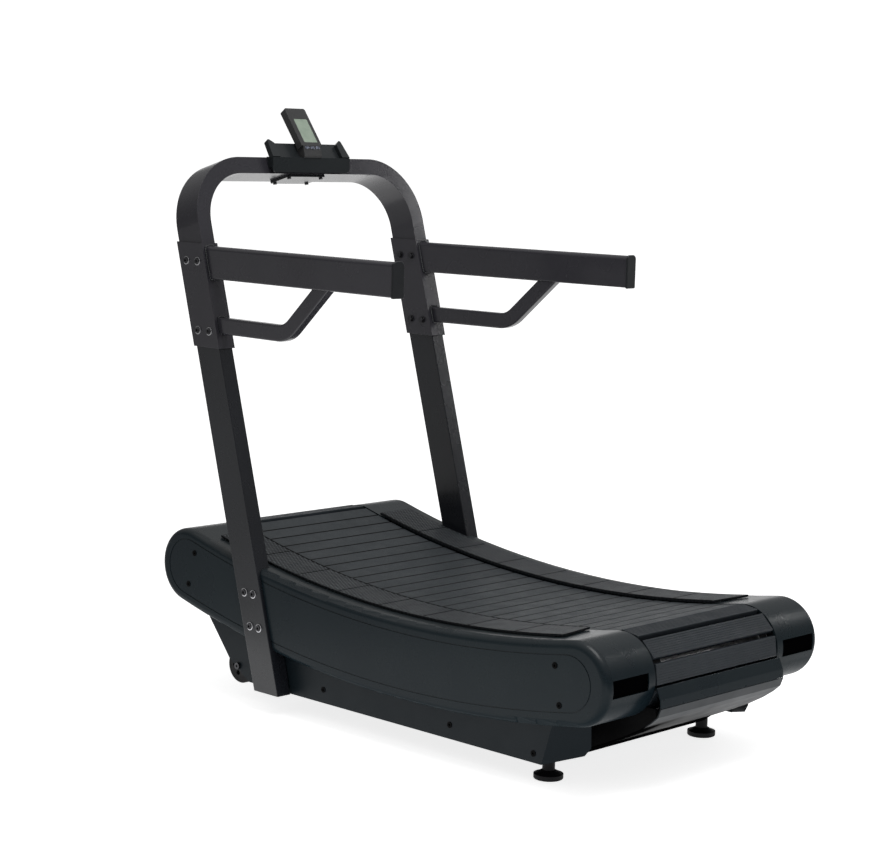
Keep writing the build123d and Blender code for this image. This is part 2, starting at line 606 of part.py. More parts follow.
def handrail_cap():
    z0, z1 = GRIP_Z
    x0, x1 = -UP_X - GRIP_WIDE / 2, -UP_X + GRIP_WIDE / 2
    plate = box(x0 - 1.5, x1 + 1.5, GRIP_REAR_Y - 6, GRIP_REAR_Y, z0 - 2.5, z1 + 2.5)
    plate = round_rail(plate, 13, 4)
    plate = fillet(plate.faces().sort_by(Axis.Y)[0].edges(), 2.5)
    inset = GRIP_WALL + 0.1
    plug = box(x0 + inset, x1 - inset, GRIP_REAR_Y, GRIP_REAR_Y + 18, z0 + inset, z1 - inset)
    plug = round_rail(plug, 12 - inset, 5 - inset)
    return splayed(plate + plug)


def brace():
    """The bent tube under a handrail, hollow from end to end."""
    reach = GRIP_Z[0] - BRACE_Z
    path = FilletPolyline((-UP_X, 700, BRACE_Z), (-UP_X, BRACE_BEND_Y, BRACE_Z),
                          (-UP_X, BRACE_END_Y - (BRACE_BEND_Y - BRACE_END_Y) * 0.3,
                           BRACE_Z + reach * 1.3), radius=BRACE_ROUND)
    start = Plane(origin=(-UP_X, 700, BRACE_Z), x_dir=(1, 0, 0), z_dir=(0, -1, 0))
    section = RectangleRounded(BRACE_WIDE, BRACE_TALL, 6)
    hole = RectangleRounded(BRACE_WIDE - 5, BRACE_TALL - 5, 4)
    body = sweep(start * section, path=path) - sweep(start * hole, path=path)
    body -= box(-600, -300, -300, 900, GRIP_Z[0], 1500)
    return splayed(body) - sleeve_outside()


def make_handrails():
    save_pair("handrail", handrail())
    save("handrail_caps", *both([handrail_cap()]))
    save("braces", *both([brace()]))


# ---- console -----------------------------------------------------------------------
BAR_TOP = (HOOP_TOP_Z - SKIRT_Z) / math.cos(math.radians(LEAN))


def facing_plane(y, z, lean):
    """A plane whose +Y runs up a face that leans forward, and whose +Z faces the user."""
    angle = math.radians(lean)
    return Plane(origin=(0, y, z), x_dir=(1, 0, 0), z_dir=(0, -math.cos(angle), math.sin(angle)))


TRAY_PLANE = facing_plane(755, 1602, TRAY_LEAN)
HEAD_PLANE = facing_plane(743.7, 1641.2, HEAD_LEAN)
KEYPAD_PLANE = facing_plane(736, 1610, 13.86)


def console_tray():
    """The holder on the bar: apron, ledge, leaning back plate and an ear at each end."""
    apron = box(-TRAY_HALF, TRAY_HALF, 742, 746, 1558, 1604)
    apron = fillet(apron.edges().filter_by(Axis.Y).group_by(Axis.Z)[0], 14)
    ledge = box(-TRAY_HALF, TRAY_HALF, 744, 758, 1600, 1604)
    lip = box(-TRAY_HALF + 16, TRAY_HALF - 16, 744, 759, 1558, 1562)
    back = extrude(TRAY_PLANE * Pos(0, 27) * Rectangle(290, 54), amount=-4)
    body = apron + ledge + lip + back
    end_wall = polygon((744, 1572), (763.6, 1572), (772.4, 1603), (772.4, 1604), (744, 1604))
    for side in (-1, 1):
        ear = make_face(Polyline((side * 129, -4), (side * 160, -4), (side * 153, 55),
                                 (side * 150, 59), (side * 145, 59), (side * 129, 46), close=True))
        body += extrude(TRAY_PLANE.offset(-5) * ear, amount=18)
        body += along_x(end_wall, side * (TRAY_HALF - 4), side * TRAY_HALF)
    return body


def console_head():
    """The display's housing, with its keypad foot."""
    wide, tall, deep = HEAD_SIZE
    outline = Pos(0, tall / 2) * Rectangle(wide, tall)
    outline = chamfer(outline.vertices().group_by(Axis.Y)[-1], 4)
    head = extrude(HEAD_PLANE * outline, amount=-deep)
    foot = polygon((739, 1604), (736, 1610), (743.7, 1641.2), (748, 1646), (764, 1632),
                   (780, 1635), (757.5, 1604))
    body = head + along_x(foot, -FOOT_HALF, FOOT_HALF)
    screen_wide, screen_tall = SCREEN_SIZE
    window = Pos(SCREEN_X, SCREEN_MIDDLE) * RectangleRounded(screen_wide + 4, screen_tall + 4, 3)
    body -= extrude(HEAD_PLANE * window, amount=-2.4)
    for x in BUTTON_X:
        body -= extrude(KEYPAD_PLANE * (Pos(x, BUTTON_UP) * SlotOverall(18.6, 8.6)), amount=-5)
    return body


def clamp_hole(x, deep, up):
    """The middle of a clamp screw's hole on the bar, with +Z pointing down through it."""
    return LEAN_PLANE * Pos(x, up, -deep) * Rot(X=90)


def clamp_plate(up, thick, deep_size):
    """A plate across the bar with four holes; it grows downward for a positive thickness."""
    plate = extrude(RectangleRounded(154, deep_size, 5), amount=thick)
    plate = clamp_hole(0, sum(CLAMP_DEEP) / 2, up) * plate
    for x in CLAMP_X:
        for deep in CLAMP_DEEP:
            plate -= clamp_hole(x, deep, up) * Cylinder(3.2, 30)
    return plate


def make_console():
    tray = console_tray()
    save("console_tray", tray)
    save("console_housing", console_head() - tray)
    screen_wide, screen_tall = SCREEN_SIZE
    lens = RectangleRounded(screen_wide + 3.4, screen_tall + 3.4, 2.7)
    lens = Pos(SCREEN_X, SCREEN_MIDDLE) * lens
    save("console_lens", extrude(HEAD_PLANE.offset(-0.4) * lens, amount=-1.6))
    for name, x in zip(("left", "middle", "right"), BUTTON_X):
        key = Pos(x, BUTTON_UP) * SlotOverall(18, 8)
        save(f"console_button_{name}", extrude(KEYPAD_PLANE.offset(1.4) * key, amount=-4.4))
    saddle = clamp_plate(BAR_TOP, -4, 96)
    gusset = polygon((766.8, 1609.8), (789.4, 1639.8), (815, 1594), (790, 1600), (772, 1605))
    for x in (-60, 60):
        saddle += along_x(gusset, x - 2, x + 2) - clamp_plate(BAR_TOP, -4, 96)
    under = BAR_TOP - UP_WIDE
    save("console_clamp", clamp_plate(under, 8, 88), saddle - tray)
    screws = []
    for x in CLAMP_X:
        for deep in CLAMP_DEEP:
            shank = Pos(0, 0, 8) * Cylinder(3, UP_WIDE + 16, align=(Align.CENTER, Align.CENTER,
                                                                    Align.MAX))
            head = Pos(0, 0, 8) * Cylinder(6, 5, align=(Align.CENTER, Align.CENTER, Align.MIN))
            screws.append(clamp_hole(x, deep, under) * (shank + head))
    save("console_clamp_screws", *screws)


# ---- wheels and feet ---------------------------------------------------------------
def make_wheels():
    y, z = WHEEL_YZ
    x = -SKIRT_X + WALL + 4 + WHEEL_WIDE / 2
    tread = bar_x(WHEEL_R, x - WHEEL_WIDE / 2, x + WHEEL_WIDE / 2, y, z)
    tread = fillet(tread.edges().filter_by(GeomType.CIRCLE), 5)
    hub = bar_x(WHEEL_R - 16, x - WHEEL_WIDE / 2 - 1, x + WHEEL_WIDE / 2 + 1, y, z)
    tread -= bar_x(WHEEL_R - 16, x - 40, x + 40, y, z)
    for i in range(5):
        hole_y, hole_z = polar((y, z), 24, i * 2 * math.pi / 5)
        hub -= bar_x(7, x - 40, x + 40, hole_y, hole_z)
    hub -= bar_x(6.08, x - 40, x + 40, y, z)
    save_pair("wheel", tread, hub)
    end = x + WHEEL_WIDE / 2 + 22
    axle = bar_x(6, -SKIRT_X - 2, end, y, z) + bar_x(10, -SKIRT_X - 7, -SKIRT_X, y, z)
    axle -= along_x(Pos(y, z) * RegularPolygon(4.6, 6), -SKIRT_X - 8, -SKIRT_X - 4)
    fork_x = x + WHEEL_WIDE / 2 + 6
    fork = box(fork_x, fork_x + 8, y - 24, y + 24, z - 22, 170)
    arm = box(fork_x, -FRAME_X - FRAME_THICK, y - 24, y + 24, 130, 170)
    bracket = (fork + arm) - bar_x(6.1, -SKIRT_X, -200, y, z)
    save("wheel_axles", *both([axle]))
    save("wheel_brackets", *both([bracket]))


def levelling_foot(x, y):
    """A rubber-soled pad on a threaded stud, with a collar to turn it by."""
    pad = bar_z(FOOT_R, 0, 14, x, y)
    pad = fillet(pad.edges().group_by(Axis.Z)[0], 4)
    cone = Pos(x, y, 14) * Cone(FOOT_R - 4, 19, 10, align=(Align.CENTER, Align.CENTER, Align.MIN))
    collar = bar_z(17, 24, 52, x, y)
    return pad + cone + collar + bar_z(FOOT_THREAD, 52, 150, x, y)


def make_feet():
    for name, (x, y) in FEET.items():
        save_pair(f"{name}_foot", levelling_foot(-x, y))


# ---- small fasteners ---------------------------------------------------------------
def make_cover_screws():
    screws = []
    places = [(SIDE_X, 24, y, z) for y, z in SIDE_SCREWS]
    places += [(SKIRT_X, 9, y, z) for y, z in SKIRT_SCREWS]
    for x, shank, y, z in places:
        screw = bar_x(8.5, -x - 1.5, -x, y, z) + bar_x(3, -x, -x + shank, y, z)
        screw -= along_x(Pos(y, z) * RegularPolygon(3.2, 6), -x - 2, -x + 2)
        screws.append(screw)
    save("cover_screws", *both(screws))


make_slats()
make_drums()
make_frame(make_support_bearings())
make_covers()
make_foot_rails()
make_skirts()
make_uprights()
make_handrails()
make_console()
make_wheels()
make_feet()
make_cover_screws()
print(f"pitch {PITCH:.2f}, drum {DRUM_R:.2f}, top run {TOP_R:.1f}, return run {RETURN_R:.1f}")
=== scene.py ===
"""Curved manual treadmill: looks, small shapes, light and camera round the solid model."""
import math

import bmesh
import bpy
from mathutils import Matrix, Vector


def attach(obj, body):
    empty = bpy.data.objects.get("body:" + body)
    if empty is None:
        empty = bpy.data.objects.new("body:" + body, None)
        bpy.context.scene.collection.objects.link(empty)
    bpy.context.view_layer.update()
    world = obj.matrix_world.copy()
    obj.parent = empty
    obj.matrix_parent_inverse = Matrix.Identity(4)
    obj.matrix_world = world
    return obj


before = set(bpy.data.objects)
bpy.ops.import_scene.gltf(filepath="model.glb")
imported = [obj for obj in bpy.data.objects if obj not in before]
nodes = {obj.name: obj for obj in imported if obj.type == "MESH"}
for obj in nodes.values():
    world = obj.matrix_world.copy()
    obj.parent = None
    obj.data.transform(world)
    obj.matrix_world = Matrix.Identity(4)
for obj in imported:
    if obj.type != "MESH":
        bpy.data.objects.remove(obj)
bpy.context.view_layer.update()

# Sizes shared with the solid model, in metres.
ARC_CENTRE_Y, ARC_CENTRE_Z = -0.159454, 3.820075   # middle of the running surface's arc
RAIL_TOP_RADIUS = 3.444                            # foot rails' top, about that middle
RAIL_FRONT_Y, RAIL_LENGTH, RAIL_TREADS = 0.676, 1.356, 8
RAIL_INNER, RAIL_OUTER = 0.2667, 0.397
SLAT_START, SLAT_ANGLE = 0.171731, 0.0174054       # first slat's angle and each slat's share
UPRIGHT_X, UPRIGHT_REAR_Y, UPRIGHT_LOW_Z = 0.445, 0.3335, 0.061
UPRIGHT_SLOPE = math.radians(15.9)
SMOOTH_ANGLE = math.radians(32)
SHEET_X, SHEET_Y = 0.72, 0.69                      # level direction of the lit floor and wall


# ---- materials ---------------------------------------------------------------------
class Nodes:
    """A node material under construction, with short calls for the nodes it uses."""

    def __init__(self, name, metallic=0.0, specular=0.5, coat=0.0, coat_rough=0.1):
        self.material = bpy.data.materials.new(name)
        self.material.use_nodes = True
        self.tree = self.material.node_tree
        self.bsdf = self.tree.nodes["Principled BSDF"]
        self.bsdf.inputs["Metallic"].default_value = metallic
        self.bsdf.inputs["Specular IOR Level"].default_value = specular
        self.bsdf.inputs["IOR"].default_value = 1.5
        self.bsdf.inputs["Coat Weight"].default_value = coat
        self.bsdf.inputs["Coat Roughness"].default_value = coat_rough
        self.place = self.add("ShaderNodeTexCoord").outputs["Object"]

    def add(self, kind, **settings):
        node = self.tree.nodes.new(kind)
        for key, value in settings.items():
            setattr(node, key, value)
        return node

    def link(self, a, b):
        self.tree.links.new(a, b)

    def stretch(self, x, y, z):
        """Object coordinates scaled along each axis."""
        node = self.add("ShaderNodeMapping")
        node.inputs["Scale"].default_value = (x, y, z)
        self.link(self.place, node.inputs["Vector"])
        return node.outputs["Vector"]

    def noise(self, scale, detail=3.0, rough=0.55, vector=None):
        node = self.add("ShaderNodeTexNoise")
        node.inputs["Scale"].default_value = scale
        node.inputs["Detail"].default_value = detail
        node.inputs["Roughness"].default_value = rough
        self.link(vector or self.place, node.inputs["Vector"])
        return node.outputs["Fac"]

    def ramp(self, value, *stops):
        """A colour ramp; each stop is (position, grey) or (position, (r, g, b))."""
        node = self.add("ShaderNodeValToRGB")
        ramp = node.color_ramp
        while len(ramp.elements) < len(stops):
            ramp.elements.new(0.5)
        for element, (position, colour) in zip(ramp.elements, stops):
            element.position = position
            rgb = colour if isinstance(colour, tuple) else (colour,) * 3
            element.color = (*rgb, 1.0)
        self.link(value, node.inputs["Fac"])
        return node.outputs["Color"]

    def math(self, operation, a, b=None, c=None):
        node = self.add("ShaderNodeMath", operation=operation)
        for socket, value in zip(node.inputs, (a, b, c)):
            if isinstance(value, (int, float)):
                socket.default_value = value
            elif value is not None:
                self.link(value, socket)
        return node.outputs["Value"]

    def mix(self, factor, a, b):
        node = self.add("ShaderNodeMix", data_type="RGBA")
        for socket, value in ((node.inputs[0], factor), (node.inputs[6], a), (node.inputs[7], b)):
            if isinstance(value, (int, float)):
                socket.default_value = value
            elif isinstance(value, tuple):
                socket.default_value = (*value, 1.0)
            else:
                self.link(value, socket)
        return node.outputs[2]

    def colour(self, value):
        self.link(value, self.bsdf.inputs["Base Color"])

    def rough(self, value):
        self.link(value, self.bsdf.inputs["Roughness"])

    def bump(self, height, strength, distance, below=None):
        node = self.add("ShaderNodeBump")
        node.inputs["Strength"].default_value = strength
        node.inputs["Distance"].default_value = distance
        self.link(height, node.inputs["Height"])
        if below is not None:
            self.link(below, node.inputs["Normal"])
        self.link(node.outputs["Normal"], self.bsdf.inputs["Normal"])
        return node.outputs["Normal"]

    def soft_edge(self, radius):
        """A normal that rounds sharp edges by a small radius."""
        node = self.add("ShaderNodeBevel", samples=6)
        node.inputs["Radius"].default_value = radius
        self.link(node.outputs["Normal"], self.bsdf.inputs["Normal"])
        return node.outputs["Normal"]

    def facing_up(self):
        """0 for a surface that faces down, 1 for one that faces up."""
        parts = self.add("ShaderNodeSeparateXYZ")
        self.link(self.add("ShaderNodeNewGeometry").outputs["Normal"], parts.inputs["Vector"])
        return self.math("MULTIPLY_ADD", parts.outputs["Z"], 0.5, 0.5)

    def split(self):
        node = self.add("ShaderNodeSeparateXYZ")
        self.link(self.place, node.inputs["Vector"])
        return node.outputs["X"], node.outputs["Y"], node.outputs["Z"]


def powder_coat(name, low, high):
    """Satin-gloss black powder coat: fine orange peel, faint warm and cool drift, dust."""
    m = Nodes(name, specular=0.4, coat=0.2, coat_rough=0.10)
    drift = m.noise(3.0, 2.0)
    dust = m.noise(60.0, 6.0, 0.7)
    base = m.ramp(drift, (0.3, low), (0.7, high))
    m.colour(m.mix(m.ramp(dust, (0.5, 0.0), (0.9, 0.12)), base, tuple(1.5 * c for c in high)))
    m.rough(m.ramp(m.noise(9.0, 3.0), (0.3, 0.24), (0.75, 0.30)))
    edge = m.soft_edge(0.0012)
    m.bump(m.noise(620.0, 2.0), 0.10, 0.0004, edge)
    return m.material


def cover_plastic(name, low, high, rough_low, rough_high, tint, coat=0.05):
    """Moulded charcoal plastic: a fine spark texture under a soft sheen, light scuffs."""
    m = Nodes(name, coat=coat, coat_rough=0.14)
    drift = m.noise(2.2, 2.0)
    grain = m.noise(1500.0, 2.0)
    base = m.ramp(drift, (0.3, low), (0.7, high))
    scuff = m.noise(7.0, 3.0, 0.6, m.stretch(1.0, 0.35, 2.5))
    m.colour(m.mix(m.ramp(scuff, (0.55, 0.0), (0.9, 0.05)), base, tint))
    m.rough(m.ramp(m.noise(12.0, 5.0), (0.3, rough_low), (0.7, rough_high)))
    # Painted shade: the reflection gets weaker the more a face looks down, and is strongest on
    # faces that look up.
    m.link(m.ramp(m.facing_up(), (0.3, 0.02), (0.48, 0.12), (0.58, 0.17), (0.75, 0.32)),
           m.bsdf.inputs["Specular IOR Level"])
    m.bump(grain, 0.12, 0.0002)
    return m.material


def slat_surface(name, painted_gap_shade, low, high):
    """Ribbed running surface: grey compound, matt, worn a little lighter in the middle.

    When set, the edges of the top run's slats are painted near black: painted shade in the gaps
    between the slats.
    """
    m = Nodes(name, specular=0.4)
    x, y, z = m.split()
    grain = m.noise(900.0, 3.0)
    drift = m.noise(5.0, 5.0, 0.6, m.stretch(1.0, 3.0, 3.0))
    base = m.ramp(drift, (0.3, low), (0.7, high))
    middle = m.math("SUBTRACT", 1.0, m.math("MULTIPLY", m.math("ABSOLUTE", x), 4.0))
    wear = m.ramp(m.math("MULTIPLY", middle, m.noise(14.0, 5.0)), (0.1, 0.0), (0.6, 0.35))
    base = m.mix(wear, base, tuple(1.2 * c for c in high))
    # Painted shade: a near-black band at each slat's edges stands for the shadow in the gaps.
    if painted_gap_shade:
        angle = m.math("ARCTAN2", m.math("SUBTRACT", y, ARC_CENTRE_Y),
                       m.math("SUBTRACT", ARC_CENTRE_Z, z))
        turn = m.math("DIVIDE", m.math("ADD", angle, SLAT_START), SLAT_ANGLE)
        edge = m.ramp(m.math("PINGPONG", turn, 0.5), (0.06, 1.0), (0.085, 0.0))
        base = m.mix(edge, base, (0.004, 0.005, 0.006))
    m.colour(base)
    m.rough(m.ramp(m.noise(20.0, 4.0), (0.3, 0.42), (0.7, 0.56)))
    m.bump(grain, 0.25, 0.0003, m.soft_edge(0.0008))
    return m.material


def tread_surface():
    """Foot-rail tread: small raised studs in staggered rows on dark plastic."""
    m = Nodes("TreadSurface", specular=0.2)
    x, y, _ = m.split()
    across = m.math("SINE", m.math("MULTIPLY", x, 2 * math.pi / 0.011))
    along = m.math("SINE", m.math("MULTIPLY", y, 2 * math.pi / 0.014))
    studs = m.math("MULTIPLY", across, along)
    height = m.ramp(studs, (0.0, 0.0), (0.45, 1.0))
    base = m.ramp(m.noise(6.0, 4.0), (0.3, (0.006, 0.008, 0.010)), (0.7, (0.010, 0.013, 0.015)))
    m.colour(m.mix(height, base, (0.018, 0.021, 0.024)))
    m.rough(m.ramp(m.noise(25.0, 4.0), (0.3, 0.36), (0.7, 0.5)))
    m.bump(height, 0.7, 0.0008, m.soft_edge(0.0008))
    return m.material


def matt_plastic(name, low, high, rough_low, rough_high, specular=0.45):
    """Plain moulded plastic or rubber with a fine leather grain."""
    m = Nodes(name, specular=specular)
    base = m.ramp(m.noise(8.0, 5.0), (0.3, low), (0.7, high))
    m.colour(m.mix(m.ramp(m.noise(45.0, 6.0, 0.7), (0.6, 0.0), (0.85, 0.3)), base,
                   tuple(2.2 * c for c in high)))
    m.rough(m.ramp(m.noise(18.0, 4.0), (0.3, rough_low), (0.7, rough_high)))
    m.bump(m.noise(1100.0, 3.0), 0.25, 0.0003, m.soft_edge(0.0008))
    return m.material


def metal(name, low, high, rough_low, rough_high, brush):
    """Turned or plated steel; brush stretches the grain along X."""
    m = Nodes(name, metallic=1.0)
    grain = m.noise(700.0, 3.0, 0.6, m.stretch(brush, 1.0, 1.0))
    m.colour(m.ramp(m.noise(40.0, 5.0), (0.3, low), (0.7, high)))
    m.rough(m.ramp(grain, (0.3, rough_low), (0.7, rough_high)))
    m.bump(grain, 0.15, 0.0001, m.soft_edge(0.0005))
    return m.material


def tray_sheet():
    """The tray's plastic: glossy higher up and towards +X; lower down it is painted near black
    with no reflection, a painted shade under the machine.
    """
    m = Nodes("TraySheet")
    x, _, z = m.split()
    height = m.math("ADD", z, m.math("MULTIPLY", m.noise(9.0, 4.0), 0.02))
    left = m.ramp(m.math("MULTIPLY_ADD", x, 2.0, 0.6), (0.2, 0.0), (0.8, 1.0))
    # Painted shade mask: 0 low on the tray, more so towards -X, and 1 higher up and towards +X.
    painted_light_mask = m.math("MULTIPLY", m.ramp(m.math("MULTIPLY", height, 4.0), (0.42, 0.0), (0.8, 1.0)),
                  m.math("MAXIMUM", left, m.ramp(height, (0.19, 0.0), (0.21, 1.0))))
    m.colour(m.mix(painted_light_mask, (0.0015, 0.0015, 0.0016), (0.010, 0.014, 0.018)))
    m.link(m.ramp(painted_light_mask, (0.0, 0.0), (1.0, 0.26)), m.bsdf.inputs["Specular IOR Level"])
    m.rough(m.ramp(m.noise(12.0, 5.0), (0.3, 0.42), (0.7, 0.52)))
    m.bump(m.noise(1500.0, 2.0), 0.12, 0.0002)
    return m.material


def lcd_glass():
    """Pale grey-green display behind a clear window, with faint cells."""
    m = Nodes("DisplayWindow", coat=0.6, coat_rough=0.05)
    x, _, z = m.split()
    cells = m.math("MULTIPLY", m.math("SINE", m.math("MULTIPLY", x, 2 * math.pi / 0.009)),
                   m.math("SINE", m.math("MULTIPLY", z, 2 * math.pi / 0.012)))
    base = m.ramp(m.noise(30.0, 3.0), (0.3, (0.25, 0.32, 0.25)), (0.7, (0.32, 0.39, 0.31)))
    m.colour(m.mix(m.ramp(cells, (0.7, 0.0), (0.95, 0.12)), base, (0.3, 0.36, 0.3)))
    m.rough(m.ramp(m.noise(50.0, 3.0), (0.3, 0.18), (0.7, 0.26)))
    m.bump(m.noise(300.0, 2.0), 0.05, 0.0001)
    return m.material


POWDER = powder_coat("PowderCoat", (0.0085, 0.0095, 0.0125), (0.012, 0.0135, 0.017))
# A lighter copy of the same black powder coat for the upper tubes: painted light, so they read
# brighter than the uprights.
LIT_POWDER = powder_coat("LitRailPowderCoat", (0.027, 0.026, 0.032), (0.035, 0.034, 0.041))
COVER = cover_plastic("CoverPlastic", (0.007, 0.0125, 0.0165), (0.0095, 0.016, 0.0195),
                      0.24, 0.34, (0.025, 0.031, 0.034))
DECK = cover_plastic("DeckPlastic", (0.016, 0.021, 0.024), (0.022, 0.028, 0.031),
                     0.26, 0.36, (0.05, 0.056, 0.06))
SKIRT = cover_plastic("SkirtPlastic", (0.0055, 0.0095, 0.013), (0.008, 0.0125, 0.0155),
                      0.34, 0.46, (0.018, 0.023, 0.026), coat=0.03)
# The front, return-run and rear slats are the same slats as the top run, painted darker: a shaded
# copy, painted shade.
SHADED_SLAT = slat_surface("SlatSurface", False, (0.014, 0.019, 0.024), (0.021, 0.027, 0.034))
TOP_SLAT = slat_surface("TopSlatSurface", True, (0.03, 0.037, 0.042), (0.042, 0.05, 0.056))
TREAD = tread_surface()
RUBBER = matt_plastic("BlackRubber", (0.003, 0.003, 0.004), (0.006, 0.006, 0.007),
                      0.5, 0.68, 0.2)
# Near black with no reflection at all: painted shade in the rear recesses.
RECESS_SHADE = matt_plastic("RecessShade", (0.0006, 0.0006, 0.0008), (0.0012, 0.0012, 0.0014),
                   0.8, 0.9, 0.0)
STUD = matt_plastic("StudTops", (0.08, 0.088, 0.095), (0.11, 0.12, 0.13), 0.4, 0.5, 0.3)
# Near black: the cover screws' own colour, and also painted shade on the rail-edge strips and the
# tray webs.
BLACK_AND_SHADE = matt_plastic("BlackAndShade", (0.0008, 0.0008, 0.001), (0.0016, 0.0016, 0.0018),
                           0.5, 0.6, 0.05)
DARK = matt_plastic("DarkPlastic", (0.004, 0.005, 0.007), (0.008, 0.010, 0.012), 0.32, 0.46)
CONSOLE = matt_plastic("ConsolePlastic", (0.03, 0.03, 0.031), (0.042, 0.042, 0.043), 0.42, 0.56)
TRAY = cover_plastic("TrayPlastic", (0.014, 0.017, 0.019), (0.02, 0.023, 0.025),
                     0.25, 0.36, (0.05, 0.055, 0.06))
TRAY_SHEET = tray_sheet()
ZINC = metal("ZincPlate", (0.5, 0.5, 0.52), (0.68, 0.68, 0.7), 0.16, 0.3, 1.0)
STEEL = metal("TurnedSteel", (0.42, 0.42, 0.43), (0.56, 0.56, 0.57), 0.24, 0.4, 0.1)
ALLOY = metal("TurnedAlloy", (0.45, 0.46, 0.47), (0.6, 0.6, 0.61), 0.28, 0.42, 1.0)
KEY = metal("SilverKey", (0.2, 0.22, 0.28), (0.3, 0.32, 0.4), 0.3, 0.4, 1.0)
BLACK_BOLT = metal("BlackBolt", (0.05, 0.05, 0.055), (0.09, 0.09, 0.095), 0.25, 0.4, 1.0)
LCD = lcd_glass()

LOOKS = {
    LIT_POWDER: ("hoop", "sleeves", "handrail_left", "handrail_right", "braces"),
    POWDER: ("upright_left", "upright_right", "upright_mounts", "side_frame_left",
             "side_frame_right", "cross_tubes", "base_tubes", "bearing_blocks", "console_clamp",
             "wheel_brackets"),
    COVER: ("side_cover_left", "side_cover_right", "rear_cover_left", "rear_cover_right",
            "front_hood", "rear_lip_panel"),
    TRAY_SHEET: ("rear_tray",),
    DECK: ("top_decks",),
    SKIRT: ("lower_skirt_left", "lower_skirt_right", "front_pan"),
    TOP_SLAT: ("slats_top_run",),
    SHADED_SLAT: ("slats_front", "slats_return_run", "slats_rear"),
    TREAD: ("foot_rail_left", "foot_rail_right"),
    RUBBER: ("slat_belts", "wheel_left", "wheel_right", "rear_foot_left", "rear_foot_right",
             "front_foot_left", "front_foot_right"),
    RECESS_SHADE: ("rear_recess_inserts",),
    DARK: ("upright_plugs", "handrail_caps"),
    CONSOLE: ("console_housing",),
    TRAY: ("console_tray",),
    ZINC: ("bearing_studs",),
    BLACK_BOLT: ("sleeve_bolts", "base_bolts", "console_clamp_screws", "wheel_axles"),
    BLACK_AND_SHADE: ("cover_screws",),
    STEEL: ("front_shaft", "rear_shaft", "support_bearings"),
    ALLOY: ("front_pulleys", "rear_pulleys"),
    KEY: ("console_button_left", "console_button_middle", "console_button_right"),
    LCD: ("console_lens",),
}


def dress(node, material):
    """Give a node one material all over."""
    mesh = nodes[node].data
    mesh.materials.clear()
    mesh.materials.append(material)


def smooth_by_angle():
    """Modifier nodes that shade a mesh smooth except across its sharp edges."""
    tree = bpy.data.node_groups.new("SmoothByAngle", "GeometryNodeTree")
    tree.interface.new_socket("Geometry", in_out="INPUT", socket_type="NodeSocketGeometry")
    tree.interface.new_socket("Geometry", in_out="OUTPUT", socket_type="NodeSocketGeometry")
    start, end = tree.nodes.new("NodeGroupInput"), tree.nodes.new("NodeGroupOutput")
    # The mesh's own corner normals go first, or they would override the new shading.
    plain = tree.nodes.new("GeometryNodeRemoveAttribute")
    plain.inputs["Name"].default_value = "custom_normal"
    faces = tree.nodes.new("GeometryNodeSetShadeSmooth")
    edges = tree.nodes.new("GeometryNodeSetShadeSmooth")
    edges.domain = "EDGE"
    edges.inputs["Shade Smooth"].default_value = False
    angle = tree.nodes.new("GeometryNodeInputMeshEdgeAngle")
    sharp = tree.nodes.new("FunctionNodeCompare")
    sharp.operation = "GREATER_THAN"
    sharp.inputs[1].default_value = SMOOTH_ANGLE
    tree.links.new(angle.outputs["Unsigned Angle"], sharp.inputs[0])
    tree.links.new(sharp.outputs[0], edges.inputs["Selection"])
    tree.links.new(start.outputs[0], plain.inputs["Geometry"])
    tree.links.new(plain.outputs["Geometry"], faces.inputs["Geometry"])
    tree.links.new(faces.outputs["Geometry"], edges.inputs["Geometry"])
    tree.links.new(edges.outputs["Geometry"], end.inputs[0])
    return tree


def even_shading(node, tree):
    """Shade a node by its face sizes, so that long thin faces leave no streaks."""
    nodes[node].modifiers.new("Smooth", "NODES").node_group = tree
    weighted = nodes[node].modifiers.new("Weighted", "WEIGHTED_NORMAL")
    weighted.keep_sharp = True


shading = smooth_by_angle()
for material, names in LOOKS.items():
    for node in names:
        dress(node, material)
        even_shading(node, shading)
left_bare = sorted(set(nodes) - {n for names in LOOKS.values() for n in names})
if left_bare:
    raise RuntimeError(f"nodes with no look: {left_bare}")


# ---- small shapes the solid model leaves out ----------------------------------------
def make_piece(name, material, body, build):
    """A mesh object made by build(bmesh) that rides on one body."""
    bm = bmesh.new()
    build(bm)
    bmesh.ops.recalc_face_normals(bm, faces=bm.faces)
    mesh = bpy.data.meshes.new(name)
    bm.to_mesh(mesh)
    bm.free()
    mesh.materials.append(material)
    piece = bpy.data.objects.new(name, mesh)
    bpy.context.scene.collection.objects.link(piece)
    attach(piece, body)
    return piece


def add_tube(bm, path, radius, sides=8):
    """A closed tube along a loop of points, its radius given by radius(i)."""
    count = len(path)
    rings = []
    for i, point in enumerate(path):
        ahead = (path[(i + 1) % count] - path[i - 1]).normalized()
        side = ahead.orthogonal().normalized()
        lift = ahead.cross(side)
        ring = []
        for k in range(sides):
            turn = 2 * math.pi * k / sides
            ring.append(bm.verts.new(point + radius(i) * (side * math.cos(turn)
                                                          + lift * math.sin(turn))))
        rings.append(ring)
    for i in range(count):
        one, two = rings[i], rings[(i + 1) % count]
        shift = min(range(sides), key=lambda k: (two[k].co - one[0].co).length)
        for k in range(sides):
            a, b = (k + shift) % sides, (k + 1 + shift) % sides
            face = bm.faces.new((one[k], one[(k + 1) % sides], two[b], two[a]))
            face.smooth = True


